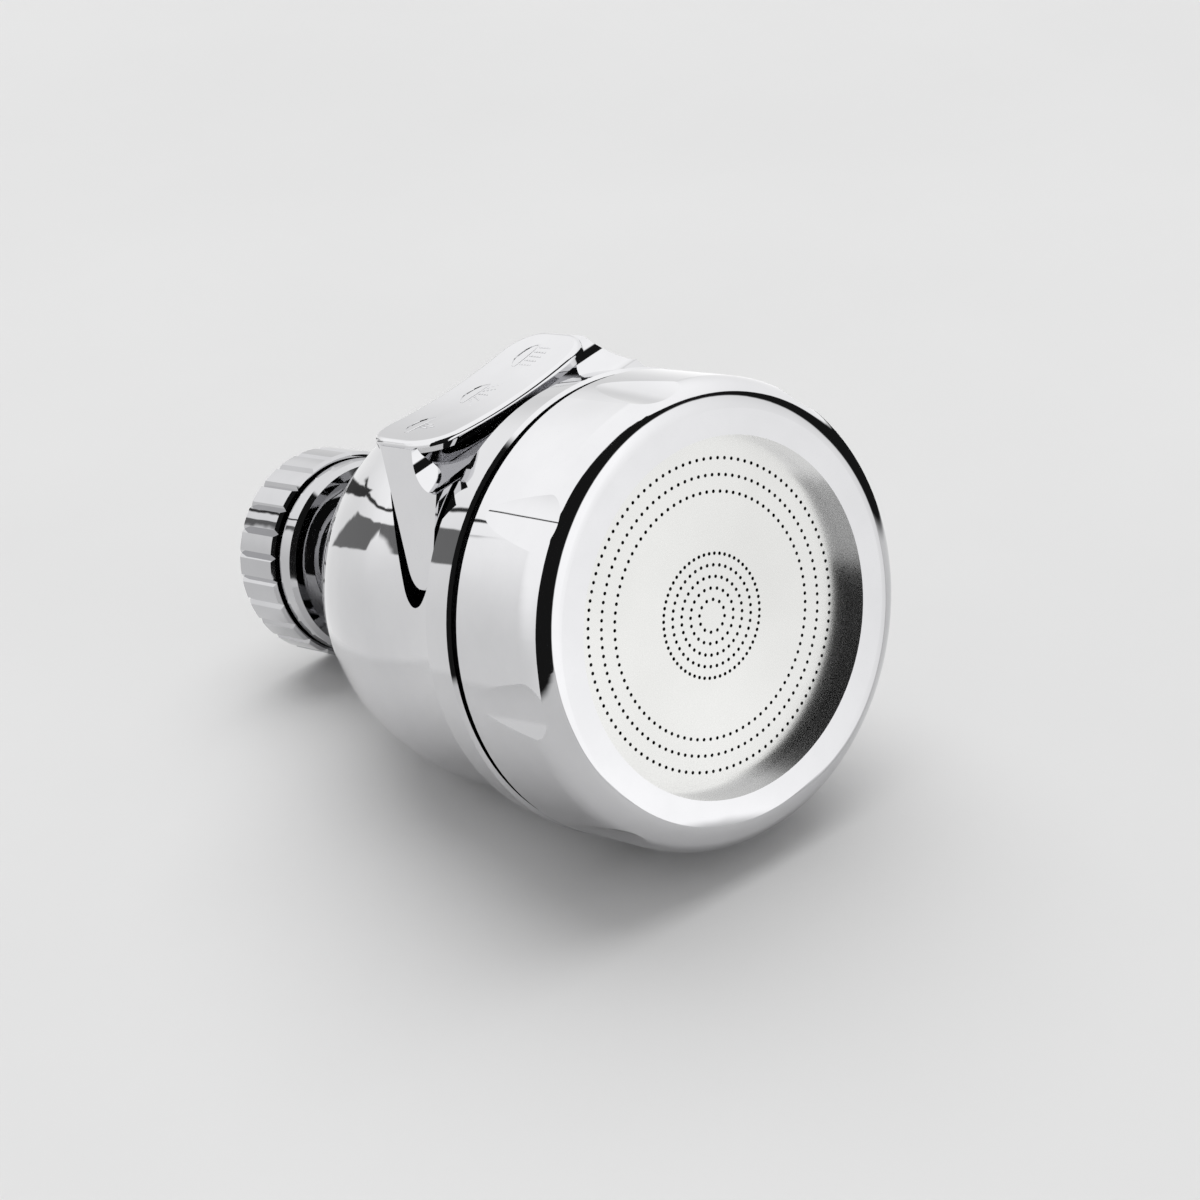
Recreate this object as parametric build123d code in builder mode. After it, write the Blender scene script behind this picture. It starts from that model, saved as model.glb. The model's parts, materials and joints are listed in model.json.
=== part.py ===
from build123d import *
import os
from math import atan, degrees, sqrt

os.makedirs("parts", exist_ok=True)

# Tap nozzle: a chromed spray head on a ball joint, with a rocker lever that picks the spray.
# Sizes are millimetres and turns are degrees. The inlet mouth is at the origin, the nozzle's
# axis is Y, the spray face looks towards -Y and the rocker lever stands up along +Z.
# A depth is a distance from the inlet mouth towards the spray face.

# Union nut and ball joint
thread_r = 10.46
thread_len = 3.2
thread_relief = 0.25
screen_t = 0.3
screen_hole = 1.3
screen_pitch = 2.1
screen_rows = 7
washer_t = 1.5
washer_gap = 0.05
slip_ring_t = 2.05
slip_ring_gap = 0.18
ring_play = 0.08
ball_step = 1.46
ball_play = 0.05
ball_tail = 0.3
seat_lap = 0.4
bowl_depth = 1.3
seal_w = 1.0
seal_t = 0.8
nut_wall = 3.24
nut_band_len = 8.0
nut_step_w = 0.6
nut_step_drop = 0.7
nut_lip_drop = 0.8
nut_lip_wall = 1.7
nut_lip_round = 0.6
nut_edge = 0.4
flute_count = 26
flute_r = 0.5
flute_sides = 4

# Neck between the ball and the head
neck_drop = 3.0
neck_wall = 1.8
neck_gap = 9.1
flange_w = 2.6
flange_t = 1.5
stub_step = 0.4
stub_len = 12.0
screw_play = 0.1

# Front cap and spray plate
cap_r = 28.1
cap_wall = 2.6
cap_len = 15.25
cap_edge_r = 3.6
cap_back_edge = 0.3
recess = 2.8
dent_count = 8
dent_clock = 37.4
dent_cutter_r = 12.0
dent_depth = 0.75
dent_len = 10.0
plate_lap = 2.1
plate_t = 1.0
hole_d = 0.45
hole_sides = 4
inner_first_r = 1.93
inner_pitch = 1.355
inner_counts = (12, 21, 31, 40, 58)
outer_first_r = 14.6
outer_pitch = 1.95
outer_counts = (90, 100, 110)

# Rear shell
seam_gap = 1.1
shell_end_t = 2.0
shell_wall = 2.2
rear_flat = 3.6
dome_len = 26.5
dome_shares = (0.4, 0.7)
flare_len = 13.8
waist_drop = 2.7
rim_len = 5.65
rim_step = 0.1
rim_taper = 0.6
rim_edge = 0.4

# Water ways behind the plate
dist_len = 9.0
dist_floor = 2.5
inner_wall_r = 9.2
inner_wall_t = 2.6
outer_wall_t = 2.9
gasket_w = 1.1
gasket_t = 0.8
body_play = 0.2
skirt_wall = 1.6
skirt_len = 6.0
ledge_w = 2.5
chamber_len = 5.5
wall_t = 3.0
tube_wall = 2.1
tube_step = 0.4

# Rocker lever and what it turns
shaft_r = 2.0
shaft_play = 0.05
seal_wall = 1.6
boss_wall = 1.2
boss_len = 1.5
end_play = 0.3
lug_t = 4.0
lug_w = 9.0
lug_gap = 2.2
slot_gap = 1.4
slot_front_gap = 0.4
slot_margin = 0.2
slot_floor = 8.0
lever_len = 14.0
lever_plate_w = 13.8
lever_plate_t = 1.4
lever_plate_lead = 2.5
lever_stand = 1.8
lever_sag = 1.2
lever_half_len = 13.9
lever_corner = 4.8
heel_x = 12.0
groove_r = 4.8
groove_lead = 0.6
tip_stand = 0.7
tip_drop = 0.1
tip_round = 1.7
tip_back_round = 4.0
tip_len = 3.6
leg_t = 3.0
arch_t = 5.8
corner_round = 4.0
edge_round = 0.7
hub_wall = 2.2
hub_gap = 1.2
web_t = 5.0
web_len = 9.5
arm_hub_wall = 1.6
arm_hub_len = 3.0
arm_t = 1.5
arm_reach = 12.0
side_drop = 1.5
pad_w = 3.3
pad_len = 6.0
pad_t = 0.75
pad_gap = 0.05
pad_room = 0.9
port_w = 2.0
port_len = 4.4
pad_swing = 1.6

# Radii of the ball joint, from the thread inwards and outwards
ball_r = thread_r - ball_step
seat_r = ball_r + ball_play
seat_mouth_r = ball_r - seat_lap
nut_land_r = thread_r + nut_wall
nut_lip_r = nut_land_r - nut_lip_drop
nut_step_r = nut_lip_r - nut_step_drop
bowl_r = nut_lip_r - nut_lip_wall
neck_r = ball_r - neck_drop
water_r = neck_r - neck_wall
stub_r = neck_r + stub_step
flange_r = stub_r + flange_w
tube_bore_r = water_r + tube_step
tube_r = stub_r + screw_play + tube_wall
rear_rim_r = flange_r + rear_flat

# Radii of the head, from the cap inwards
rim_r = cap_r + rim_step
rim_back_r = rim_r - rim_taper
flare_r = rim_back_r - rim_edge
waist_r = rim_r - waist_drop
body_r = cap_r - cap_wall - body_play
plate_r = body_r - skirt_wall - body_play
bore_r = plate_r - plate_lap
chamber_r = plate_r - ledge_w

# Heights of the lever
hub_r = shaft_r + hub_wall
seal_r = shaft_r + seal_wall
arm_hub_r = shaft_r + arm_hub_wall
pivot_h = tube_r + hub_gap + hub_r
lever_mid_h = waist_r + lever_stand
lever_end_h = lever_mid_h + lever_sag
tip_h = pivot_h - tip_drop
tip_x = sqrt((waist_r + tip_stand) ** 2 - tip_h**2)

# Depths, from the inlet mouth to the front lip
screen_d = thread_len
washer_d = screen_d + screen_t
slip_ring_d = washer_d + washer_t + washer_gap
ball_d = slip_ring_d + slip_ring_t + slip_ring_gap
seat_mouth_d = ball_d + sqrt(seat_r**2 - seat_mouth_r**2)
nut_len = seat_mouth_d + bowl_depth
shell_d = nut_len + neck_gap
waist_d = shell_d + dome_len
crease_d = waist_d + flare_len
shell_front_d = crease_d + rim_len
cap_d = shell_front_d + seam_gap
lip_d = cap_d + cap_len
plate_front_d = lip_d - recess
plate_back_d = plate_front_d - plate_t
dist_d = plate_back_d - dist_len
chamber_d = dist_d - chamber_len
body_d = chamber_d - wall_t
slot_front_d = crease_d - slot_margin
lever_front_d = slot_front_d - slot_front_gap
lever_back_d = lever_front_d - lever_len
lever_plate_d = lever_front_d - lever_plate_lead - lever_plate_w / 2
lug_d = lever_back_d - lug_gap

# Sketch planes: depth and height, depth and width, and across the axis at a depth
side = Plane(origin=(0, 0, 0), x_dir=(0, -1, 0), z_dir=(-1, 0, 0))
plan = Plane(origin=(0, 0, 0), x_dir=(0, -1, 0), z_dir=(0, 0, 1))
front = Plane.XZ


def across(depth):
    """The plane square to the axis at a depth, with its normal towards the spray face."""
    return front.offset(depth)


def section(*points):
    """A half section through the axis, as depth and radius, ready to be revolved."""
    with BuildSketch(side) as half:
        with BuildLine():
            Polyline(*points, close=True)
        make_face()
    return half.sketch


def washer(depth, length, inner_r, outer_r):
    """The half section of a flat ring."""
    ends = (depth, depth + length)
    return section((ends[0], inner_r), (ends[1], inner_r), (ends[1], outer_r), (ends[0], outer_r))


# Union nut: fluted band, step, smooth lip, bowl, ball seat, relief and inlet bore
with BuildPart() as union_nut:
    with BuildSketch(side):
        with BuildLine():
            Polyline(
                (nut_len - bowl_depth, seat_mouth_r),
                (nut_len, bowl_r),
                (nut_len, nut_lip_r - nut_lip_round),
                (nut_len - nut_lip_round, nut_lip_r),
                (nut_band_len + nut_step_w, nut_lip_r),
                (nut_band_len + nut_step_w, nut_step_r),
                (nut_band_len, nut_step_r),
                (nut_band_len, nut_land_r - nut_edge),
                (nut_band_len - nut_edge, nut_land_r),
                (nut_edge, nut_land_r),
                (0, nut_land_r - nut_edge),
                (0, thread_r),
                (thread_len, thread_r),
                (thread_len, thread_r + thread_relief),
                (ball_d, thread_r + thread_relief),
                (ball_d, seat_r),
            )
            RadiusArc((ball_d, seat_r), (nut_len - bowl_depth, seat_mouth_r), seat_r)
        make_face()
    revolve(axis=Axis.Y)
    with BuildSketch(front):
        with PolarLocations(nut_land_r, flute_count):
            RegularPolygon(flute_r, flute_sides)
    extrude(amount=nut_band_len, mode=Mode.SUBTRACT)
    revolve(washer(ball_d + seal_w, seal_w, seat_mouth_r, seat_r + seal_t), Axis.Y, mode=Mode.SUBTRACT)
union_nut.part.label = "union_nut"
export_step(union_nut.part, "parts/union_nut.step")

# Square ring in the nut's seat that seals on the ball
with BuildPart() as ball_seal:
    revolve(washer(ball_d + seal_w, seal_w, seat_r, seat_r + seal_t), Axis.Y)
ball_seal.part.label = "ball_seal"
export_step(ball_seal.part, "parts/ball_seal.step")

# Flat rubber ring that the tap's spout is screwed down on
with BuildPart() as inlet_washer:
    revolve(washer(washer_d, washer_t, ball_r, thread_r - ring_play), Axis.Y)
inlet_washer.part.label = "inlet_washer"
export_step(inlet_washer.part, "parts/inlet_washer.step")

# Steel inlet screen that lies on the washer
with BuildPart() as inlet_screen:
    with BuildSketch(across(screen_d)):
        Circle(thread_r - ring_play)
        with GridLocations(screen_pitch, screen_pitch, screen_rows, screen_rows) as grid:
            open_places = [p for p in grid.local_locations if p.position.length < ball_r - screen_hole]
        with Locations(*open_places):
            Rectangle(screen_hole, screen_hole, mode=Mode.SUBTRACT)
    extrude(amount=screen_t)
inlet_screen.part.label = "inlet_screen"
export_step(inlet_screen.part, "parts/inlet_screen.step")

# Slip ring that carries the ball from behind and turns with it in the nut
with BuildPart() as slip_ring:
    with BuildSketch(side):
        ring_back_r = sqrt(seat_r**2 - (slip_ring_t + slip_ring_gap) ** 2)
        ring_front_r = sqrt(seat_r**2 - slip_ring_gap**2)
        with BuildLine():
            RadiusArc((slip_ring_d, ring_back_r), (slip_ring_d + slip_ring_t, ring_front_r), seat_r)
            Polyline(
                (slip_ring_d + slip_ring_t, ring_front_r),
                (slip_ring_d + slip_ring_t, thread_r - ring_play),
                (slip_ring_d, thread_r - ring_play),
                (slip_ring_d, ring_back_r),
            )
        make_face()
    revolve(axis=Axis.Y)
slip_ring.part.label = "slip_ring"
export_step(slip_ring.part, "parts/slip_ring.step")

# Swivel ball with its neck, flange and the stub that screws into the valve body
with BuildPart() as swivel_ball:
    tail_d = ball_d - ball_tail
    with BuildSketch(side):
        neck_root_d = ball_d + sqrt(ball_r**2 - neck_r**2)
        tail_r = sqrt(ball_r**2 - ball_tail**2)
        with BuildLine():
            ThreePointArc((tail_d, tail_r), (ball_d, ball_r), (neck_root_d, neck_r))
            Polyline(
                (neck_root_d, neck_r),
                (shell_d - flange_t, neck_r),
                (shell_d - flange_t, flange_r),
                (shell_d, flange_r),
                (shell_d, stub_r),
                (shell_d + stub_len, stub_r),
                (shell_d + stub_len, water_r),
                (tail_d, water_r),
                (tail_d, tail_r),
            )
        make_face()
    revolve(axis=Axis.Y)
    gasket_r = (stub_r + flange_r) / 2
    neck_groove = washer(shell_d - gasket_t, gasket_t, gasket_r - gasket_w / 2, gasket_r + gasket_w / 2)
    revolve(neck_groove, Axis.Y, mode=Mode.SUBTRACT)
swivel_ball.part.label = "swivel_ball"
export_step(swivel_ball.part, "parts/swivel_ball.step")

with BuildPart() as neck_gasket:
    revolve(neck_groove, Axis.Y)
neck_gasket.part.label = "neck_gasket"
export_step(neck_gasket.part, "parts/neck_gasket.step")

# Outline of the lever seen from above, in depth and width: straight front, V tips, rounded back
with BuildSketch(plan) as lever_outline:
    with BuildLine():
        Polyline(
            (lever_front_d, 0),
            (lever_front_d, tip_x),
            (lever_front_d - tip_len, tip_x),
            (lever_back_d, heel_x),
            (lever_back_d, 0),
            close=True,
        )
    make_face()
    mirror(about=Plane.XZ)
    tips = lever_outline.vertices().filter_by(lambda v: abs(v.Y) > (tip_x + heel_x) / 2)
    fillet(tips.group_by(Axis.X)[0], radius=tip_back_round)
    toes = lever_outline.vertices().group_by(Axis.X)[-1].filter_by(lambda v: abs(v.Y) > heel_x)
    fillet(toes, radius=tip_round)
    heels = lever_outline.vertices().group_by(Axis.X)[0].filter_by(lambda v: abs(v.Y) > heel_x / 2)
    fillet(heels, radius=corner_round)

# Rear shell: domed back, flared waist and rim, hollow, with the lever's V-ended opening on top
with BuildPart() as rear_shell:
    shell_in_d = shell_d + shell_end_t
    inner_waist_r = waist_r - shell_wall
    inner_rear_r = rear_rim_r - shell_wall / 2
    dome_drop = waist_r - rear_rim_r
    dome_r = (dome_len**2 + dome_drop**2) / (2 * dome_drop)
    inner_dome = []
    for share in dome_shares:
        back = share * dome_len
        inner_dome.append((waist_d - back, inner_waist_r - dome_r + sqrt(dome_r**2 - back**2)))
    with BuildSketch(side):
        with BuildLine():
            TangentArc((waist_d, waist_r), (shell_d, rear_rim_r), tangent=(-1, 0))
            TangentArc((waist_d, waist_r), (crease_d, flare_r), tangent=(1, 0))
            Polyline(
                (crease_d, flare_r),
                (crease_d + rim_edge, rim_back_r),
                (shell_front_d - rim_edge, rim_r),
                (shell_front_d, rim_r - rim_edge),
                (shell_front_d, body_r + body_play),
                (body_d, body_r + body_play),
                (body_d, inner_waist_r),
                (waist_d, inner_waist_r),
                *inner_dome,
                (shell_in_d, inner_rear_r),
                (shell_in_d, stub_r + body_play),
                (shell_d, stub_r + body_play),
                (shell_d, rear_rim_r),
            )
        make_face()
    revolve(axis=Axis.Y)
    with BuildSketch(plan.offset(slot_floor)):
        add(lever_outline.sketch_local)
        offset(amount=slot_gap)
        with Locations((slot_front_d, 0)):
            Rectangle(lever_len, 2 * rim_r, align=(Align.MIN, Align.CENTER), mode=Mode.SUBTRACT)
    extrude(amount=rim_r, mode=Mode.SUBTRACT)
rear_shell.part.label = "rear_shell"
export_step(rear_shell.part, "parts/rear_shell.step")

# Front cap: grip ring with thumb dents, rounded lip and a bore that shows the plate
with BuildPart() as front_cap:
    cap_in_r = body_r + body_play
    with BuildSketch(side):
        with BuildLine():
            Polyline(
                (lip_d, cap_r - cap_edge_r),
                (lip_d, bore_r),
                (plate_front_d, bore_r),
                (plate_front_d, cap_in_r),
                (cap_d, cap_in_r),
                (cap_d, cap_r - cap_back_edge),
                (cap_d + cap_back_edge, cap_r),
                (lip_d - cap_edge_r, cap_r),
            )
            RadiusArc((lip_d - cap_edge_r, cap_r), (lip_d, cap_r - cap_edge_r), cap_edge_r)
        make_face()
    revolve(axis=Axis.Y)
    dent_lean = degrees(atan(dent_depth / dent_len))
    with Locations(across(lip_d - recess - dent_len)):
        with PolarLocations(cap_r + dent_cutter_r, dent_count, start_angle=90 + dent_clock):
            Cylinder(
                dent_cutter_r,
                2 * dent_len + 2 * recess,
                rotation=(0, -dent_lean, 0),
                mode=Mode.SUBTRACT,
            )
front_cap.part.label = "front_cap"
export_step(front_cap.part, "parts/front_cap.step")

# Spray plate with its rings of fine holes
with BuildPart() as spray_plate:
    with BuildSketch(across(plate_back_d)):
        Circle(plate_r)
        for first_r, pitch, counts in (
            (inner_first_r, inner_pitch, inner_counts),
            (outer_first_r, outer_pitch, outer_counts),
        ):
            for number, count in enumerate(counts):
                with PolarLocations(first_r + number * pitch, count):
                    RegularPolygon(hole_d / 2, hole_sides, mode=Mode.SUBTRACT)
    extrude(amount=plate_t)
spray_plate.part.label = "spray_plate"
export_step(spray_plate.part, "parts/spray_plate.step")

# Places of the two ports, in width and height, where the pads come to cover them
pad_top_h = pivot_h - side_drop + pad_w / 2 + pad_swing
side_reach = sqrt((chamber_r - pad_room) ** 2 - pad_top_h**2) - pad_len / 2
pad_in = (0, pivot_h - arm_reach)
pad_out = (side_reach, pivot_h - side_drop)
port_in = (pad_in[0] - pad_swing, pad_in[1])
port_out = (pad_out[0], pad_out[1] + pad_swing)

# Distributor: inner and outer chambers behind the plate, each with its own port
inner_seal_r = inner_wall_r + inner_wall_t / 2
outer_seal_r = plate_r - outer_wall_t / 2
inner_groove = washer(plate_back_d - gasket_t, gasket_t, inner_seal_r - gasket_w / 2, inner_seal_r + gasket_w / 2)
outer_groove = washer(plate_back_d - gasket_t, gasket_t, outer_seal_r - gasket_w / 2, outer_seal_r + gasket_w / 2)
with BuildPart() as distributor:
    with BuildSketch(across(dist_d)):
        Circle(plate_r)
    extrude(amount=dist_len)
    with BuildSketch(across(dist_d + dist_floor)):
        Circle(plate_r - outer_wall_t)
        Circle(inner_wall_r + inner_wall_t, mode=Mode.SUBTRACT)
        Circle(inner_wall_r)
    extrude(amount=dist_len, mode=Mode.SUBTRACT)
    with BuildSketch(across(dist_d)):
        with Locations(port_in):
            Rectangle(port_w, port_len)
        with Locations(port_out):
            Rectangle(port_len, port_w)
    extrude(amount=dist_floor, mode=Mode.SUBTRACT)
    revolve(inner_groove, Axis.Y, mode=Mode.SUBTRACT)
    revolve(outer_groove, Axis.Y, mode=Mode.SUBTRACT)
distributor.part.label = "distributor"
export_step(distributor.part, "parts/distributor.step")

with BuildPart() as inner_gasket:
    revolve(inner_groove, Axis.Y)
inner_gasket.part.label = "inner_gasket"
export_step(inner_gasket.part, "parts/inner_gasket.step")

with BuildPart() as outer_gasket:
    revolve(outer_groove, Axis.Y)
outer_gasket.part.label = "outer_gasket"
export_step(outer_gasket.part, "parts/outer_gasket.step")

# Valve body: skirt that the cap screws on, chamber, wall, water tube and the lever's lug
body_seal_r = (chamber_r + plate_r + body_play) / 2
body_groove = washer(dist_d - gasket_t, gasket_t, body_seal_r - gasket_w / 2, body_seal_r + gasket_w / 2)
with BuildPart() as valve_body:
    tube_d = shell_d + shell_end_t
    socket_d = shell_d + stub_len
    skirt_d = dist_d + skirt_len
    revolve(
        section(
            (tube_d, stub_r + screw_play),
            (socket_d, stub_r + screw_play),
            (socket_d, tube_bore_r),
            (chamber_d, tube_bore_r),
            (chamber_d, chamber_r),
            (dist_d, chamber_r),
            (dist_d, plate_r + body_play),
            (skirt_d, plate_r + body_play),
            (skirt_d, body_r),
            (body_d, body_r),
            (body_d, tube_r),
            (tube_d, tube_r),
        ),
        Axis.Y,
    )
    revolve(body_groove, Axis.Y, mode=Mode.SUBTRACT)
    with BuildSketch(across(chamber_d)):
        with Locations((0, pivot_h)):
            Circle(seal_r + boss_wall)
    extrude(amount=boss_len)
    with BuildSketch(across(lug_d - lug_t)):
        with Locations((0, pivot_h / 2)):
            Rectangle(lug_w, pivot_h)
        with Locations((0, pivot_h)):
            Circle(lug_w / 2)
        Circle((tube_r + tube_bore_r) / 2, mode=Mode.SUBTRACT)
    extrude(amount=lug_t)
    with BuildSketch(across(lug_d - lug_t)):
        with Locations((0, pivot_h)):
            Circle(shaft_r + shaft_play)
    extrude(amount=lip_d, mode=Mode.SUBTRACT)
    with BuildSketch(across(chamber_d)):
        with Locations((0, pivot_h)):
            Circle(seal_r)
    extrude(amount=boss_len, mode=Mode.SUBTRACT)
valve_body.part.label = "valve_body"
export_step(valve_body.part, "parts/valve_body.step")

with BuildPart() as body_gasket:
    revolve(body_groove, Axis.Y)
body_gasket.part.label = "body_gasket"
export_step(body_gasket.part, "parts/body_gasket.step")

# Ring that seals the lever's shaft where it enters the chamber
with BuildPart() as shaft_seal:
    with BuildSketch(across(chamber_d)):
        with Locations((0, pivot_h)):
            Circle(seal_r)
            Circle(shaft_r + shaft_play, mode=Mode.SUBTRACT)
    extrude(amount=boss_len)
shaft_seal.part.label = "shaft_seal"
export_step(shaft_seal.part, "parts/shaft_seal.step")

# Top plate of the lever: a rounded oblong with a saddle-shaped top and a rounded edge
with BuildPart() as lever_plate:
    lever_rise = lever_end_h - lever_mid_h
    saddle_r = (lever_half_len**2 + lever_rise**2) / (2 * lever_rise)
    with BuildSketch(plan.offset(slot_floor)):
        with Locations((lever_plate_d, 0)):
            RectangleRounded(lever_plate_w, 2 * lever_half_len, lever_corner)
    extrude(amount=lever_end_h)
    with BuildSketch(across(lever_back_d - lever_len)):
        with Locations((0, lever_mid_h + saddle_r)):
            Circle(saddle_r + lever_plate_t)
            Circle(saddle_r, mode=Mode.SUBTRACT)
    extrude(amount=3 * lever_len, mode=Mode.INTERSECT)
    broad_faces = lever_plate.faces().sort_by(SortBy.AREA)[-2:]
    fillet(broad_faces.sort_by(Axis.Z)[-1].edges(), radius=edge_round)

# Rocker lever: the plate on a bridge with two V legs, a grooved front and a hub for its shaft
with BuildPart() as selector_lever:
    leg = Vector(tip_x - lever_half_len, tip_h - lever_end_h).normalized()
    inward = Vector(leg.Y, -leg.X) * leg_t
    ceiling_h = lever_mid_h - arch_t
    inner_tip = Vector(tip_x, tip_h) + inward
    inner_top = inner_tip - leg * ((ceiling_h - inner_tip.Y) / -leg.Y)
    shoulder = Vector(lever_half_len, lever_end_h) + leg * edge_round
    with BuildSketch(across(lever_back_d)):
        with BuildLine():
            ThreePointArc(
                (-shoulder.X, shoulder.Y),
                (0, lever_mid_h - edge_round),
                (shoulder.X, shoulder.Y),
            )
            Polyline(
                (shoulder.X, shoulder.Y),
                (tip_x, tip_h),
                (inner_tip.X, inner_tip.Y),
                (inner_top.X, ceiling_h),
                (-inner_top.X, ceiling_h),
                (-inner_tip.X, inner_tip.Y),
                (-tip_x, tip_h),
                (-shoulder.X, shoulder.Y),
            )
        make_face()
    extrude(amount=lever_len)
    with BuildSketch(plan):
        add(lever_outline.sketch_local)
    extrude(amount=2 * lever_end_h, mode=Mode.INTERSECT)
    with BuildSketch(side):
        with Locations((lever_front_d - groove_lead, lever_end_h)):
            Circle(groove_r)
    extrude(amount=tip_x, both=True, mode=Mode.SUBTRACT)
    add(lever_plate.part)
    hub_d = lug_d + end_play
    hub_len = body_d - end_play - hub_d
    with BuildSketch(across(hub_d)):
        with Locations((0, pivot_h)):
            Circle(hub_r)
    extrude(amount=hub_len)
    with BuildSketch(across(lever_back_d)):
        with Locations((0, (pivot_h + ceiling_h) / 2)):
            Rectangle(web_t, ceiling_h - pivot_h)
    extrude(amount=web_len)
    with BuildSketch(across(hub_d)):
        with Locations((0, pivot_h)):
            Circle(shaft_r)
    extrude(amount=hub_len, mode=Mode.SUBTRACT)
selector_lever.part.label = "selector_lever"
export_step(selector_lever.part, "parts/selector_lever.step")

# Shaft that joins the lever to the diverter arm
arm_face_d = dist_d - pad_gap - pad_t
arm_d = arm_face_d - arm_hub_len
with BuildPart() as selector_shaft:
    shaft_d = lug_d - lug_t
    with BuildSketch(across(shaft_d)):
        with Locations((0, pivot_h)):
            Circle(shaft_r)
    extrude(amount=arm_face_d - shaft_d)
selector_shaft.part.label = "selector_shaft"
export_step(selector_shaft.part, "parts/selector_shaft.step")

# Diverter arm in the chamber, with one blade for each pad
with BuildPart() as diverter_arm:
    with BuildSketch(across(arm_face_d - arm_t)):
        with Locations((0, (pivot_h + pad_in[1] - pad_len / 2) / 2)):
            Rectangle(pad_w, pivot_h - pad_in[1] + pad_len / 2)
        with Locations(((pad_out[0] + pad_len / 2) / 2, pad_out[1])):
            Rectangle(pad_out[0] + pad_len / 2, pad_w)
    extrude(amount=arm_t)
    with BuildSketch(across(arm_d)):
        with Locations((0, pivot_h)):
            Circle(arm_hub_r)
    extrude(amount=arm_hub_len)
    with BuildSketch(across(arm_d)):
        with Locations((0, pivot_h)):
            Circle(shaft_r)
    extrude(amount=arm_hub_len, mode=Mode.SUBTRACT)
diverter_arm.part.label = "diverter_arm"
export_step(diverter_arm.part, "parts/diverter_arm.step")

# Rubber pads that close the ports
with BuildPart() as inner_pad:
    with BuildSketch(across(arm_face_d)):
        with Locations(pad_in):
            Rectangle(pad_w, pad_len)
    extrude(amount=pad_t)
inner_pad.part.label = "inner_pad"
export_step(inner_pad.part, "parts/inner_pad.step")

with BuildPart() as outer_pad:
    with BuildSketch(across(arm_face_d)):
        with Locations(pad_out):
            Rectangle(pad_len, pad_w)
    extrude(amount=pad_t)
outer_pad.part.label = "outer_pad"
export_step(outer_pad.part, "parts/outer_pad.step")
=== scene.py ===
# %% [markdown]
# # A tap nozzle in chrome
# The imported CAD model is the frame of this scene. Its solids already have the nozzle's true shapes, so
# the lesson is about three other things: a studio that chrome can mirror, finishes that look like plating,
# satin steel, rubber and moulded plastic, and the small parts that CAD leaves out.

# %% Load the frame
import json
import math

import bmesh
import bpy
from mathutils import Matrix, Vector

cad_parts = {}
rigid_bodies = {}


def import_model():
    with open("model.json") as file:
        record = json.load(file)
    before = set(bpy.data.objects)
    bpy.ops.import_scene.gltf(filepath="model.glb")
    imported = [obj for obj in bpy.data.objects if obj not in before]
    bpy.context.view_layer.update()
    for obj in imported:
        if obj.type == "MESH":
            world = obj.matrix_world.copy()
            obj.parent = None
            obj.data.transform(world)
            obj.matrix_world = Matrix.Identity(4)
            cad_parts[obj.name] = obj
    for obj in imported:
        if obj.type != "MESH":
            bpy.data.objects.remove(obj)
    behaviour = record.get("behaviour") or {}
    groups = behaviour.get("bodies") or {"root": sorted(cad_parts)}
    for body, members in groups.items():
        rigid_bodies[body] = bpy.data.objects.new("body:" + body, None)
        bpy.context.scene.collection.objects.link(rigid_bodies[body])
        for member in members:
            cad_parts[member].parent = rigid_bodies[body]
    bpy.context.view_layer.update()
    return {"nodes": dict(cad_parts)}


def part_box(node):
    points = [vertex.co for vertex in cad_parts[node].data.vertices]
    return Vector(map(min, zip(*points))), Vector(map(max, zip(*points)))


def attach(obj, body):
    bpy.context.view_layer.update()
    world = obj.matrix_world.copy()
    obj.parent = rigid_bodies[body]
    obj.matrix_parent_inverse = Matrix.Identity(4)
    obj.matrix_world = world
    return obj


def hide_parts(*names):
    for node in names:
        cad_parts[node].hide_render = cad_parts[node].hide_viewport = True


for leftover in list(bpy.data.objects):
    bpy.data.objects.remove(leftover)
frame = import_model()

# %% [markdown]
# ## Camera
# The picture is taken with a long lens from above and to the left of the spray face, and it is rolled,
# because the nozzle lies on its side. Three angles could turn the camera, but it is hard to see what each does.
# Here its own three axes are given instead: where its right, its up and its back point.

# %% Camera
camera_right = Vector((0.7039, -0.6252, -0.3361))
camera_up = Vector((0.5059, 0.1097, 0.8555))
camera_back = Vector((-0.4981, -0.7727, 0.3934))
camera_place = Vector((-0.2127, -0.3886, 0.1674))

camera_data = bpy.data.cameras.new("camera")
camera_data.sensor_width = 36.0
camera_data.lens = 105.5
camera = bpy.data.objects.new("camera", camera_data)
bpy.context.scene.collection.objects.link(camera)
turn = Matrix((camera_right, camera_up, camera_back)).transposed()
camera.matrix_world = Matrix.Translation(camera_place) @ turn.to_4x4()
bpy.context.scene.camera = camera
print("camera at", [round(v, 3) for v in camera.location])

# %% [markdown]
# ## Floor
# The nozzle lies on its cap and on its nut. It keeps its own frame, so it is the floor that slopes: it rises along
# the nozzle, because the cap is wider than the nut, and it is rolled a little about the axis. One large square
# is enough. It is made flat and then turned in its mesh, so that the object itself stays unturned.

# %% Floor
floor_roll = math.radians(8.0)
floor_rise = 0.2152
floor_level = -0.0134
floor_reach = 4.0
flat = math.sqrt(1.0 - floor_rise**2)
floor_up = Vector((flat * math.sin(floor_roll), -floor_rise, flat * math.cos(floor_roll)))

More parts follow.
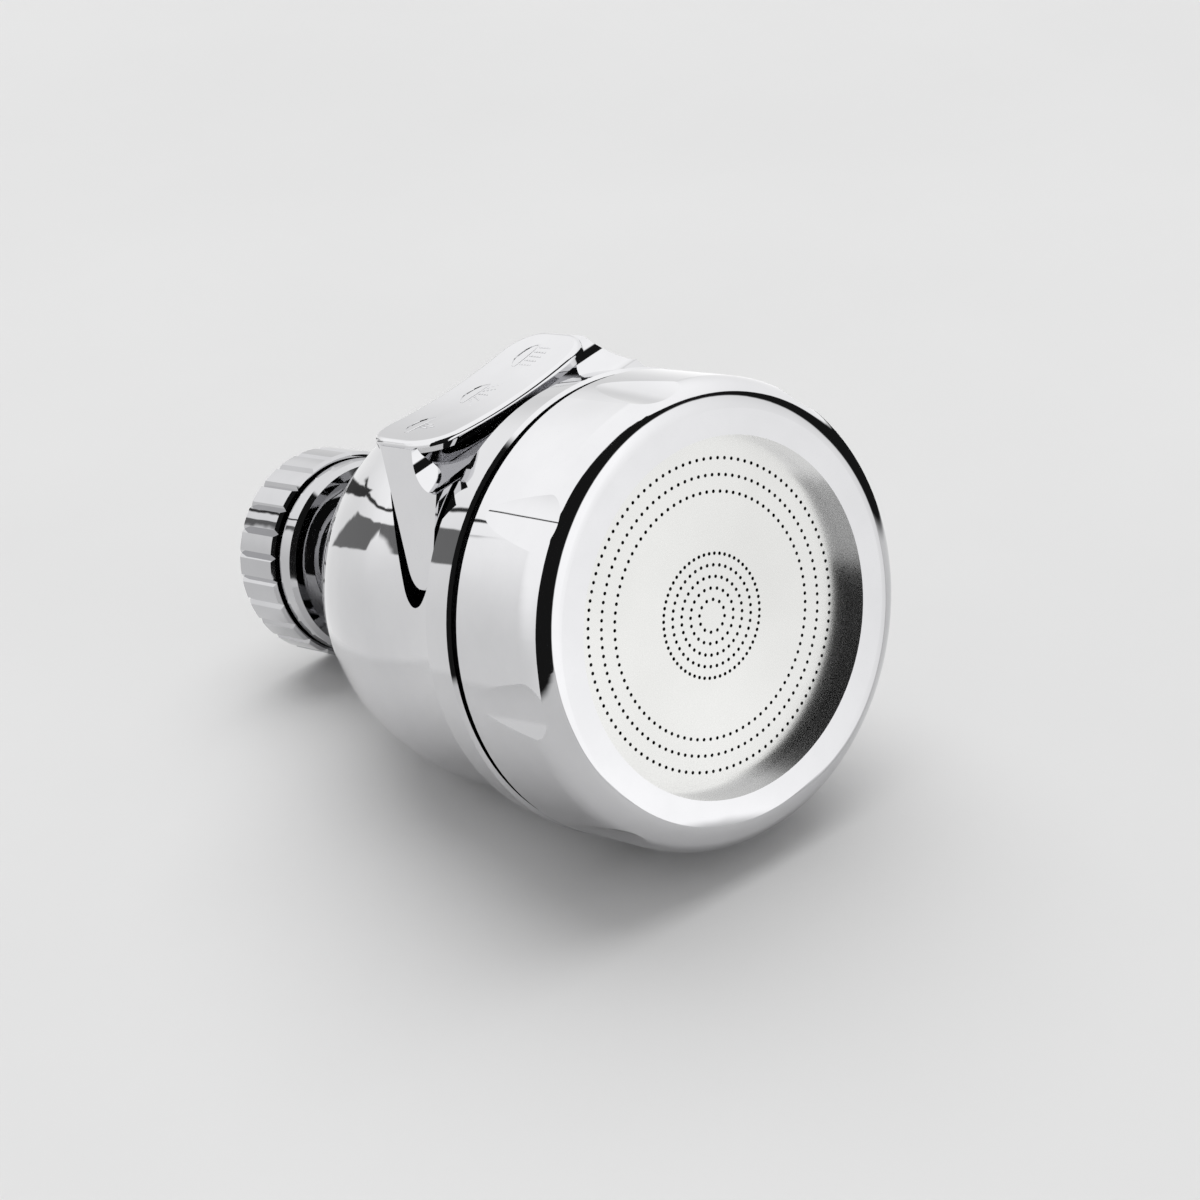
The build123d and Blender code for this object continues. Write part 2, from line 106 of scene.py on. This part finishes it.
shape = bmesh.new()
bmesh.ops.create_grid(shape, x_segments=1, y_segments=1, size=floor_reach)
lean = Matrix.Translation(floor_up * floor_level) @ floor_up.to_track_quat("Z", "Y").to_matrix().to_4x4()
bmesh.ops.transform(shape, matrix=lean, verts=shape.verts)
floor_mesh = bpy.data.meshes.new("floor")
shape.to_mesh(floor_mesh)
shape.free()
floor = bpy.data.objects.new("floor", floor_mesh)
bpy.context.scene.collection.objects.link(floor)
print("floor slopes", round(math.degrees(math.acos(floor_up.z)), 1), "degrees in the nozzle's frame")

# %% [markdown]
# ## Node helpers
# Light and finishes are graphs of nodes, and written out in full a graph is long. Three helpers keep each line of it
# short: one adds a node and fills its inputs, one does a sum, and one turns a value into a soft step.


# %% Node helpers
def add_node(tree, kind, settings=None, **inputs):
    """Adds a node; an input is named by its label, or as i0, i1 and so on where labels repeat."""
    node = tree.nodes.new(kind)
    for key, value in (settings or {}).items():
        setattr(node, key, value)
    for key, value in inputs.items():
        by_number = key[0] == "i" and key[1:].isdigit()
        socket = node.inputs[int(key[1:]) if by_number else key.replace("_", " ")]
        if isinstance(value, bpy.types.NodeSocket):
            tree.links.new(value, socket)
        else:
            socket.default_value = value
    return node


def sum_of(tree, operation, first, second=0.0):
    return add_node(tree, "ShaderNodeMath", {"operation": operation}, i0=first, i1=second).outputs[0]


def ramp_of(tree, value, low, high, to_low, to_high):
    ends = {"From_Min": low, "From_Max": high, "To_Min": to_low, "To_Max": to_high}
    node = add_node(tree, "ShaderNodeMapRange", {"interpolation_type": "SMOOTHSTEP"}, Value=value, **ends)
    return node.outputs[0]


print("helpers ready")

# %% [markdown]
# ## What the chrome mirrors
# Chrome has no colour of its own: it shows the room. A real room could be built of panels around the nozzle, but they
# would stand in the way of a camera on another side. So the room is a node group that gives a brightness
# for a direction, and only mirrors see it. A direction is an azimuth, which is nought straight out of the spray face,
# and a height above the nozzle's axis, both in degrees.

# %% Room by direction
room = bpy.data.node_groups.new("room_by_direction", "ShaderNodeTree")
room.interface.new_socket("Direction", in_out="INPUT", socket_type="NodeSocketVector")
room.interface.new_socket("Level", in_out="OUTPUT", socket_type="NodeSocketFloat")
room.interface.new_socket("Reflector", in_out="OUTPUT", socket_type="NodeSocketFloat")
way = add_node(room, "NodeGroupInput").outputs["Direction"]
part = add_node(room, "ShaderNodeSeparateXYZ", Vector=way).outputs
ahead = sum_of(room, "MULTIPLY", part["Y"], -1.0)
azimuth = sum_of(room, "DEGREES", sum_of(room, "ARCTAN2", part["X"], ahead))
height = sum_of(room, "DEGREES", sum_of(room, "ARCSINE", part["Z"]))
print("room group:", room.name)

# %% [markdown]
# ## Opening of the tent
# The room is a white tent that is open towards the camera. Through the opening the dark studio is seen as a wide arch,
# and at the back a low dark strip is left under the cloth. The rounded edges of the cap gather it into black lines.
# A float curve holds the arch's height over the azimuth, because no plain oval has this outline.

# %% Opening of the tent
arch_span = (-90.0, 180.0)
arch_rise = (-40.0, 80.0)
arch = [
    (-90, -40), (-64, -40), (-59, 2), (-53, 33), (-40, 54), (-18, 63), (10, 61),
    (28, 57), (41, 52), (50, 34), (62, 20), (82, 3), (95, -6), (110, -10), (130, -12),
    (144, -7), (156, -8), (170, -11), (180, -11),
]
arch_soft = 1.2
span_width, rise_width = arch_span[1] - arch_span[0], arch_rise[1] - arch_rise[0]

outline = add_node(room, "ShaderNodeFloatCurve")
span_share = sum_of(room, "DIVIDE", sum_of(room, "SUBTRACT", azimuth, arch_span[0]), span_width)
room.links.new(span_share, outline.inputs["Value"])
points = outline.mapping.curves[0].points
for number, (degrees, rise) in enumerate(arch):
    x = (degrees - arch_span[0]) / span_width
    y = (rise - arch_rise[0]) / rise_width
    if number < 2:
        points[number].location = (x, y)
    else:
        points.new(x, y)
outline.mapping.update()
arch_height = sum_of(room, "MULTIPLY_ADD", outline.outputs[0], rise_width)
arch_height.node.inputs[2].default_value = arch_rise[0]
opening = ramp_of(room, sum_of(room, "SUBTRACT", arch_height, height), -arch_soft, arch_soft, 0.0, 1.0)
print("arch points:", len(points))

# %% [markdown]
# ## Cloth of the tent
# The cloth is lit from above, so it is brightest at the top and falls off to its foot, a little more on
# one side. In one place at the back it is dimmer still, so that the lever's top stands out from the pale floor.


# %% Cloth of the tent
def blend(tree, share, first, second):
    return add_node(tree, "ShaderNodeMix", {"data_type": "FLOAT"}, i0=share, i2=first, i3=second).outputs[0]


def along(tree, first, second):
    dot = {"operation": "DOT_PRODUCT"}
    return add_node(tree, "ShaderNodeVectorMath", dot, i0=first, i1=second).outputs["Value"]


def between(tree, value, low, high, soft):
    """One between low and high and nought outside, with soft edges."""
    rising = ramp_of(tree, value, low - soft, low + soft, 0.0, 1.0)
    falling = ramp_of(tree, value, high - soft, high + soft, 1.0, 0.0)
    return sum_of(tree, "MULTIPLY", rising, falling)


tent_top, tent_foot, tent_slant, tent_rise = 1.38, 1.06, (0.16, -0.1, 0.0), (6.0, 40.0)
dusk_span, dusk_soft, dusk_rise, dusk_grey = (136.0, 160.0), 6.0, (9.0, 21.0), 0.87

foot = sum_of(room, "ADD", along(room, way, tent_slant), tent_foot)
tent = blend(room, ramp_of(room, height, *tent_rise, 0.0, 1.0), foot, tent_top)
dusk = between(room, azimuth, *dusk_span, dusk_soft)
dusk = sum_of(room, "MULTIPLY", dusk, ramp_of(room, height, *dusk_rise, 1.0, 0.0))
tent = blend(room, dusk, tent, dusk_grey)
print("cloth from", tent_foot, "at the foot to", tent_top, "at the top")

# %% [markdown]
# ## Seams and a flag
# Two dark seams and a grey flag, which photographers hang up to break a white surface, are slanted strips of the room.
# In the chrome they become thin dark lines and grey patches on the cap and beside the lever's leg. One
# of them lies across the direction where the azimuth jumps from 180 to -180, so the azimuth is wrapped first.

# %% Seams and a flag
strip_soft, end_soft = 0.4, 1.0
seam_dark, flag_grey = 0.05, 0.19
behind = add_node(room, "ShaderNodeMath", {"operation": "WRAP"}, i0=azimuth, i1=0.0, i2=-360.0).outputs[0]


def strip(slope, middle, heights, ends):
    """A slanted strip, between two heights at its middle azimuth and between two end azimuths."""
    climb = sum_of(room, "MULTIPLY", sum_of(room, "SUBTRACT", behind, middle), slope)
    inside = between(room, sum_of(room, "SUBTRACT", height, climb), *heights, strip_soft)
    return sum_of(room, "MULTIPLY", inside, between(room, behind, *ends, end_soft))


side_seam = strip(slope=0.8, middle=-165.0, heights=(29.9, 31.3), ends=(-190.0, -140.0))
back_seam = strip(slope=1.35, middle=-192.0, heights=(1.5, 5.5), ends=(-204.0, -181.0))
flag = strip(slope=0.8, middle=-165.0, heights=(13.0, 24.6), ends=(-178.0, -157.7))
tent = blend(room, sum_of(room, "MAXIMUM", side_seam, back_seam), tent, seam_dark)
tent = blend(room, flag, tent, flag_grey)
print("strips: side seam, back seam, flag")

# %% [markdown]
# ## Reflector
# A round white reflector stands in the opening, before the spray face. It lights up the plate and the ring around it,
# and without it they would mirror the dark studio. Its light falls off to one side and downwards, and is held
# below the level at which the ring would turn plain white.

# %% Reflector
disc_middle, disc_reach, disc_soft = (26.0, -5.0), 32.0, 2.0
disc_level, disc_most, disc_slant = 1.38, 1.48, (-0.0125, 0.004, 0.0)
studio_dark = 0.012

aside = sum_of(room, "SUBTRACT", azimuth, disc_middle[0])
above = sum_of(room, "SUBTRACT", height, disc_middle[1])
off_disc = add_node(room, "ShaderNodeCombineXYZ", X=aside, Y=above).outputs[0]
disc_far = add_node(room, "ShaderNodeVectorMath", {"operation": "LENGTH"}, i0=off_disc).outputs["Value"]
disc = ramp_of(room, disc_far, disc_reach - disc_soft, disc_reach + disc_soft, 1.0, 0.0)
disc_light = sum_of(room, "ADD", along(room, off_disc, disc_slant), disc_level)
disc_light = sum_of(room, "MINIMUM", disc_light, disc_most)
level = blend(room, disc, blend(room, opening, tent, studio_dark), disc_light)
add_node(room, "NodeGroupOutput", Level=level, Reflector=disc)
print("room group nodes:", len(room.nodes))

# %% [markdown]
# ## Light
# The camera and the matt surfaces see an even, pale world, so that a colour looks as it is written. Only mirrors see
# the room. One broad, soft sun stands high over the nozzle and gives the shadow, which lies close around it.
# A sun was chosen over an area lamp because it lights the floor evenly as far as the camera sees.

# %% World
pale_world, even_light = 0.785, 0.5
world = bpy.data.worlds.new("studio")
bpy.context.scene.world = world
world.use_nodes = True
tree = world.node_tree
tree.nodes.clear()
way = add_node(tree, "ShaderNodeTexCoord").outputs["Generated"]
mirrored = add_node(tree, "ShaderNodeGroup", {"node_tree": room}, Direction=way).outputs["Level"]
path = add_node(tree, "ShaderNodeLightPath").outputs
unseen = blend(tree, path["Is Glossy Ray"], even_light, mirrored)
level = blend(tree, path["Is Camera Ray"], unseen, pale_world)
glow = add_node(tree, "ShaderNodeBackground", Color=level)
add_node(tree, "ShaderNodeOutputWorld", Surface=glow.outputs[0])
print("world:", world.name)

# %% Sun
sun_data = bpy.data.lights.new("soft_sun", "SUN")
sun_data.energy = 1.68
sun_data.angle = math.radians(66.0)
sun = bpy.data.objects.new("soft_sun", sun_data)
bpy.context.scene.collection.objects.link(sun)
sun_way = camera_right * -0.06 + camera_up * 0.95 + camera_back * 0.04
sun.matrix_world = sun_way.to_track_quat("Z", "Y").to_matrix().to_4x4()
sun.visible_glossy = False
bpy.context.scene.view_settings.view_transform = "Standard"
sun_height = math.degrees(math.asin(sun_way.normalized() @ floor_up))
print("sun stands", round(sun_height, 1), "degrees above the floor")

# %% [markdown]
# ## Finish helpers
# No surface is the same all over, so every finish starts from a noise. It reads Object coordinates, which
# stay with a piece when it moves. The usual values of a noise lie in the middle of its range,
# so a helper stretches that part over two shades, and another makes a grey with a little more or less blue.

# %% Finish helpers
noise_low, noise_high = 0.3, 0.7


def new_finish(name):
    finish = bpy.data.materials.new(name)
    finish.use_nodes = True
    return finish, finish.node_tree, finish.node_tree.nodes["Principled BSDF"]


def noise_of(tree, scale, detail=4.0, roughness=0.5):
    place = add_node(tree, "ShaderNodeTexCoord").outputs["Object"]
    grain = {"Scale": scale, "Detail": detail, "Roughness": roughness}
    return add_node(tree, "ShaderNodeTexNoise", Vector=place, **grain).outputs[0]


def stretch(tree, noise, low, high):
    return ramp_of(tree, noise, noise_low, noise_high, low, high)


def grey_of(tree, shade, blue=0.0):
    """A grey whose blue is a little higher or lower than the rest."""
    blue_shade = sum_of(tree, "ADD", shade, blue) if blue else shade
    return add_node(tree, "ShaderNodeCombineColor", Red=shade, Green=shade, Blue=blue_shade).outputs[0]


print("finish helpers ready")

# %% [markdown]
# ## Floor finish
# Pale, matt and slightly uneven, like a painted board. Past the board's edge, which lies close to the nozzle, mirrors
# see the floor glow with the room's brightness: painted light that brings the tent and the reflector down to the table.
# The camera doesn't see that far, so the floor stays one plane, and mirrors see this painted room light instead of the
# board where a line from the nozzle meets the floor at a low angle.

# %% Painted board
pale_board, tree, shader = new_finish("pale_board")
mottle = stretch(tree, noise_of(tree, scale=9.0, detail=6.0), 0.775, 0.80)
tree.links.new(grey_of(tree, mottle), shader.inputs["Base Color"])
shader.inputs["Roughness"].default_value = 0.75
shader.inputs["Specular IOR Level"].default_value = 0.2
floor.data.materials.append(pale_board)
print("floor finish:", pale_board.name)

# %% Painted room light on the floor
board_middle = (0.0, -0.045, 0.0)
side_slope, back_slope, edge_ends = (0.155, 0.0, 1.0), (0.12, 0.1, 1.0), (-0.25, -0.2)
left_ends, left_drop = (-0.15, 0.05), -0.5

place = add_node(tree, "ShaderNodeTexCoord").outputs["Object"]
out_from = add_node(tree, "ShaderNodeVectorMath", {"operation": "SUBTRACT"}, i0=place, i1=board_middle).outputs[0]
out_from = add_node(tree, "ShaderNodeVectorMath", {"operation": "NORMALIZE"}, i0=out_from).outputs[0]
mirror_room = add_node(tree, "ShaderNodeGroup", {"node_tree": room}, Direction=out_from).outputs
left_fall = ramp_of(tree, along(tree, out_from, (1.0, 0.0, 0.0)), *left_ends, left_drop, 0.0)
back_edge = sum_of(tree, "ADD", along(tree, out_from, back_slope), left_fall)
board_edge = sum_of(tree, "MAXIMUM", along(tree, out_from, side_slope), back_edge)
painted_room_mask = ramp_of(tree, board_edge, *edge_ends, 0.0, 1.0)
painted_room_mask = sum_of(tree, "MAXIMUM", painted_room_mask, mirror_room["Reflector"])
mirrored = add_node(tree, "ShaderNodeLightPath").outputs["Is Glossy Ray"]
painted_room_share = sum_of(tree, "MULTIPLY", painted_room_mask, mirrored)
# For mirror rays the floor glows with the room's level. This is painted light, because the floor is no lamp.
glow = add_node(tree, "ShaderNodeEmission", Color=mirror_room["Level"]).outputs[0]
both = add_node(tree, "ShaderNodeMixShader", i0=painted_room_share, i1=shader.outputs[0], i2=glow).outputs[0]
tree.links.new(both, tree.nodes["Material Output"].inputs["Surface"])
print("floor nodes:", len(tree.nodes))

# %% [markdown]
# ## Chrome
# Plating mirrors sharply, but plated plastic is never quite flat: it swells and sinks a little, which makes
# the edges of its reflections wander. A bump does that, and noise in the roughness stands for wiped-off marks.
# Chromium gives back about two thirds of the light, a little more of the blue. The plating on brass, on the nut
# and the ball, is set a shade darker than that on plastic.

# %% Chrome
smear_scale, smear_fade, smear_bloom = 140.0, 0.015, 0.01
shade_ends, gloss_ends = (0.3, 0.75), (0.45, 0.8)
clean_roughness, smeared_roughness = 0.028, 0.07
swell_depth, chrome_blue = 0.001, 0.012


def chrome(name, tint, swell, swell_scale):
    finish, tree, shader = new_finish(name)
    smear = noise_of(tree, smear_scale, detail=5.0, roughness=0.6)
    shade = ramp_of(tree, smear, *shade_ends, tint - smear_fade, tint + smear_bloom)
    tree.links.new(grey_of(tree, shade, chrome_blue), shader.inputs["Base Color"])
    roughness = ramp_of(tree, smear, *gloss_ends, clean_roughness, smeared_roughness)
    tree.links.new(roughness, shader.inputs["Roughness"])
    wave = noise_of(tree, swell_scale, detail=2.0, roughness=0.4)
    wander = add_node(tree, "ShaderNodeBump", Strength=swell, Distance=swell_depth, Height=wave)
    tree.links.new(wander.outputs[0], shader.inputs["Normal"])
    shader.inputs["Metallic"].default_value = 1.0
    return finish


plated_brass = chrome("plated_brass", tint=0.49, swell=0.06, swell_scale=160.0)
plated_plastic = chrome("plated_plastic", tint=0.63, swell=0.05, swell_scale=90.0)
print("chrome:", plated_brass.name, plated_plastic.name)

# %% [markdown]
# ## Satin steel
# The spray plate, the inlet's screen and the selector's shaft are steel that is brushed or tumbled, not plated. It
# blurs what it mirrors and shows a fine grain. A fine noise drives both the roughness and a slight bump,
# and a broad one clouds the shade. The steel is a little warmer than the chrome, so its blue is lower.

# %% Satin steel
grain_scale, cloud_scale, steel_blue = 5200.0, 60.0, -0.012
satin_steel, tree, shader = new_finish("satin_steel")
grain = noise_of(tree, grain_scale, detail=2.0)
shade = stretch(tree, noise_of(tree, cloud_scale, detail=3.0), 0.63, 0.67)
tree.links.new(grey_of(tree, shade, steel_blue), shader.inputs["Base Color"])
tree.links.new(stretch(tree, grain, 0.23, 0.28), shader.inputs["Roughness"])
grit = add_node(tree, "ShaderNodeBump", Strength=0.03, Distance=0.0002, Height=grain)
tree.links.new(grit.outputs[0], shader.inputs["Normal"])
shader.inputs["Metallic"].default_value = 1.0
print("steel:", satin_steel.name)

# %% [markdown]
# ## Rubber and plastic
# The seals are matt rubber, the slip ring is a white bearing plastic, and the mouldings inside are black plastic, which
# is why every gap in the nozzle looks black. All three differ only in shade, gloss and grain, so one function
# makes them.

# %% Rubber and plastic
roughness_spread, grit_depth = 0.12, 0.0003


def moulded(name, low, high, roughness, scale, bump):
    finish, tree, shader = new_finish(name)
    grain = noise_of(tree, scale, detail=3.0, roughness=0.6)
    tree.links.new(grey_of(tree, stretch(tree, grain, low, high)), shader.inputs["Base Color"])
    tree.links.new(stretch(tree, grain, roughness, roughness + roughness_spread), shader.inputs["Roughness"])
    grit = add_node(tree, "ShaderNodeBump", Strength=bump, Distance=grit_depth, Height=grain)
    tree.links.new(grit.outputs[0], shader.inputs["Normal"])
    return finish


seal_rubber = moulded("seal_rubber", 0.018, 0.03, roughness=0.62, scale=900.0, bump=0.2)
black_moulding = moulded("black_moulding", 0.012, 0.02, roughness=0.42, scale=1400.0, bump=0.1)
white_acetal = moulded("white_acetal", 0.76, 0.80, roughness=0.38, scale=1400.0, bump=0.06)
print("rubber and plastic:", seal_rubber.name, black_moulding.name, white_acetal.name)

# %% [markdown]
# ## Finish every CAD node
# Each solid of the frame gets one finish. A table of names is easier to check against the parts list than a line for
# each solid, and the solids that nobody sees get theirs too, because they show when the nozzle is taken apart.

# %% Finish every CAD node
finishes = {
    plated_brass: ["union_nut", "swivel_ball"],
    plated_plastic: ["rear_shell", "front_cap", "selector_lever"],
    satin_steel: ["spray_plate", "inlet_screen", "selector_shaft"],
    seal_rubber: [
        "ball_seal", "inlet_washer", "neck_gasket", "body_gasket", "shaft_seal",
        "inner_gasket", "outer_gasket", "inner_pad", "outer_pad",
    ],
    black_moulding: ["valve_body", "distributor", "diverter_arm"],
    white_acetal: ["slip_ring"],
}
for finish, names in finishes.items():
    for name in names:
        slots = frame["nodes"][name].data.materials
        slots.clear()
        slots.append(finish)
print("finished nodes:", sum(len(names) for names in finishes.values()))

# %% [markdown]
# ## Small parts
# The plate, the thread and the marks are made here. Each is a bmesh that is turned into an object, finished, and
# tied to the body that it moves with. The helper recalculates the normals, because spins can turn a shape inside
# out, and marks the edges sharper than 40 degrees, so that smooth shading doesn't round them.

# %% New piece
weld = 1e-7
sharp_from = math.radians(40.0)


def new_piece(name, shape, finish, body):
    bmesh.ops.remove_doubles(shape, verts=shape.verts, dist=weld)
    bmesh.ops.recalc_face_normals(shape, faces=shape.faces)
    mesh = bpy.data.meshes.new(name)
    shape.to_mesh(mesh)
    shape.free()
    mesh.shade_smooth()
    mesh.set_sharp_from_angle(angle=sharp_from)
    mesh.materials.append(finish)
    piece = bpy.data.objects.new(name, mesh)
    bpy.context.scene.collection.objects.link(piece)
    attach(piece, body)
    print(name, "has", len(mesh.polygons), "faces and rides on", body)
    return piece


# %% [markdown]
# ## Spray plate
# The CAD plate has square holes, to keep its mesh light. The real holes are round, so the plate is made again:
# circles for the rim and for every hole, one fill between them, and an extrusion for the thickness. Cutting
# hundreds of holes with booleans would be slower and leave a poorer mesh.

# %% Spray plate
mm = 0.001
low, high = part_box("spray_plate")
plate_r = (high.x - low.x) / 2
plate_t = high.y - low.y
rim_sides, hole_sides, hole_r = 128, 10, 0.225 * mm
inner_rings = [(1.93 * mm + 1.355 * mm * step, count) for step, count in enumerate((12, 21, 31, 40, 58))]
outer_rings = [(14.6 * mm + 1.95 * mm * step, count) for step, count in enumerate((90, 100, 110))]

shape = bmesh.new()
bmesh.ops.create_circle(shape, segments=rim_sides, radius=plate_r)
for ring_r, count in inner_rings + outer_rings:
    for step in range(count):
        around = Matrix.Rotation(math.tau * step / count, 4, "Z") @ Matrix.Translation((ring_r, 0, 0))
        bmesh.ops.create_circle(shape, segments=hole_sides, radius=hole_r, matrix=around)
bmesh.ops.triangle_fill(shape, edges=shape.edges[:], use_beauty=True, use_dissolve=False)
sheet = bmesh.ops.extrude_face_region(shape, geom=shape.faces[:])["geom"]
raised = [v for v in sheet if isinstance(v, bmesh.types.BMVert)]
bmesh.ops.translate(shape, vec=(0, 0, plate_t), verts=raised)
upright = Matrix.Translation((0, high.y, 0)) @ Matrix.Rotation(math.radians(90.0), 4, "X")
bmesh.ops.transform(shape, matrix=upright, verts=shape.verts)
plate = new_piece("drilled_plate", shape, satin_steel, "head")
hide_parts("spray_plate")

# %% [markdown]
# ## Inlet thread
# CAD gives the inlet as a plain bore. The thread that shows inside it is a low ridge: a small triangle that is spun
# about the axis while it moves along, which is what a screw does. Its foot is sunk in the bore's wall.

# %% Inlet thread
thread_r, thread_pitch, ridge_h, ridge_root = 10.46 * mm, 1.0 * mm, 0.3 * mm, 0.1 * mm
ridge_half, thread_start = 0.38, -0.45 * mm
thread_turns, thread_steps = 2.4, 64

shape = bmesh.new()
foot_r, crest_r = thread_r + ridge_root, thread_r - ridge_h
corners = [(foot_r, ridge_half), (crest_r, 0.0), (foot_r, -ridge_half)]
ends = [shape.verts.new((radius, thread_start + share * thread_pitch, 0)) for radius, share in corners]
bmesh.ops.contextual_create(shape, geom=ends)
bmesh.ops.spin(
    shape, geom=shape.faces[:] + shape.edges[:] + shape.verts[:], cent=(0, 0, 0), axis=(0, 1, 0),
    dvec=(0, -thread_pitch / thread_steps, 0), angle=math.tau * thread_turns,
    steps=round(thread_turns * thread_steps),
)
new_piece("inlet_thread", shape, plated_brass, "union")

# %% [markdown]
# ## Strokes of the marks
# Three small raised marks on the lever show the sprays. Each is a rounded head with what comes out of it: one jet, a
# fan of drops, or rows of fine streams. They could be a bump in the finish, but raised strokes also catch the
# light in other views. A stroke is a low bar with bevelled upper edges, and the head is half an oval ridge that
# is spun and then squeezed. The marks are drawn in millimetres.

# %% Strokes of the marks
line_w, line_h, line_root, line_bevel = 0.24 * mm, 0.08 * mm, 0.1 * mm, 0.06 * mm
head_half, head_depth, head_steps = 2.3, 1.7, 24
ridge_profile = [(-0.5, -line_root), (-0.3, line_h), (0.3, line_h), (0.5, -line_root)]


def bar(shape, start, end):
    """A low bar between two points of the mark, with its upper edges bevelled."""
    start, end = Vector((*start, 0)) * mm, Vector((*end, 0)) * mm
    run = end - start
    middle = (start + end) / 2 + Vector((0, 0, (line_h - line_root) / 2))
    made = bmesh.ops.create_cube(shape, size=1.0)["verts"]
    bmesh.ops.scale(shape, vec=(run.length + line_w, line_w, line_h + line_root), verts=made)
    bmesh.ops.rotate(shape, matrix=Matrix.Rotation(math.atan2(run.y, run.x), 3, "Z"), verts=made)
    bmesh.ops.translate(shape, vec=middle, verts=made)
    top = [e for e in {e for v in made for e in v.link_edges} if all(v.co.z > 0 for v in e.verts)]
    bmesh.ops.bevel(shape, geom=top, offset=line_bevel, segments=2, affect="EDGES", profile=0.5, material=-1)


def spray_head(shape):
    """The rounded head of a mark: half an oval ridge, closed by a bar."""
    loop = [shape.verts.new((head_half * mm + share * line_w, 0, rise)) for share, rise in ridge_profile]
    edges = [shape.edges.new(pair) for pair in zip(loop, loop[1:])]
    half_turn = {"cent": (0, 0, 0), "axis": (0, 0, 1), "angle": math.pi, "steps": head_steps}
    bmesh.ops.spin(shape, geom=loop + edges, **half_turn)
    bmesh.ops.scale(shape, vec=(1, head_depth / head_half, 1), verts=shape.verts)
    bar(shape, (-head_half, 0), (head_half, 0))


print("stroke:", line_w / mm, "mm wide and", line_h / mm, "mm high")

# %% [markdown]
# ## Marks on the lever
# A mark is drawn flat at the origin and then swung up onto the lever's saddle. The saddle is part of a cylinder,
# so a turn about that cylinder's axis puts each mark square on the surface.

# %% Marks on the lever
saddle_mid, saddle_r = 27.3 * mm, 81.1 * mm
mark_y, mark_pitch = -50.0 * mm, 8.8 * mm
mark_rows = range(4)

jet = [((0, -0.55), (0, -2.3))] + [((side * 0.5, -0.6), (side * 0.5, -1.5)) for side in (-1, 1)]
drops = [(x * (0.5 + 0.14 * row), -0.6 - 0.5 * row) for row in mark_rows for x in (-3, -1.5, 0, 1.5, 3)]
streams = [(x, -0.65 - 0.55 * row) for row in mark_rows for x in (-1.8, -0.9, 0, 0.9, 1.8)]
marks = {
    "jet_mark": (-1, jet),
    "drops_mark": (0, [(drop, drop) for drop in drops]),
    "streams_mark": (1, [((x, y), (x, y - 0.2)) for x, y in streams]),
}
for name, (seat, strokes) in marks.items():
    shape = bmesh.new()
    spray_head(shape)
    for start, end in strokes:
        bar(shape, start, end)
    bmesh.ops.translate(shape, vec=(0, mark_y, saddle_mid), verts=shape.verts)
    swing = Matrix.Rotation(-seat * mark_pitch / saddle_r, 3, "Y")
    bmesh.ops.rotate(shape, cent=(0, 0, saddle_mid + saddle_r), matrix=swing, verts=shape.verts)
    new_piece(name, shape, plated_plastic, "selector")

# %% [markdown]
# ## End

# %% End
print("scene built")
